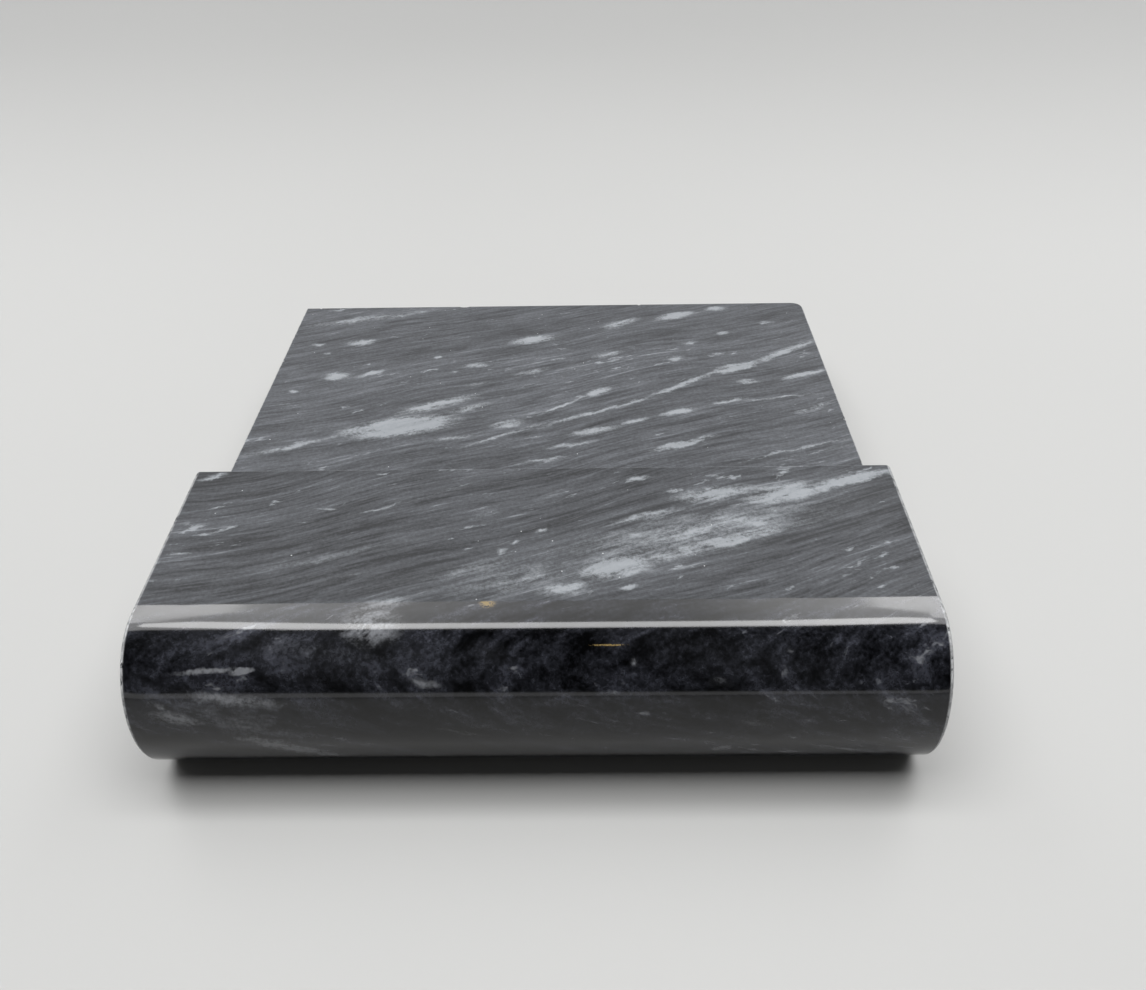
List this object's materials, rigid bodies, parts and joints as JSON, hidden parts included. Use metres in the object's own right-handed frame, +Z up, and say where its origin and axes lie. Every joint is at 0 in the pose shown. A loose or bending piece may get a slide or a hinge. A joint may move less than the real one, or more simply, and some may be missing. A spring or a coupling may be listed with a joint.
{
  "type": "stone work slab",
  "caption": "Dark veined stone work slab: a thick block with a polished bullnose front edge, and a thinner matt slab set flush behind it.",
  "frame": {"origin": "on the bench, under the middle of the two stones set together", "axes": "+X across the stones, +Y away from the rounded nose, +Z up"},
  "size_m": [0.127, 0.1284, 0.03],
  "materials": {
    "polished_stone": "dark grey veined marble, polished nose, matt sawn top and ends",
    "honed_stone": "dark grey veined marble, matt"
  },
  "bodies": {
    "front_slab": {"front_slab": "polished_stone"},
    "rear_slab": {"rear_slab": "honed_stone"}
  },
  "joints": [
    {"name": "rear_slab_draw", "type": "slide", "parent": "front_slab", "child": "rear_slab", "axis": [0, 1, 0], "range_m": [0, 0.06]}
  ]
}
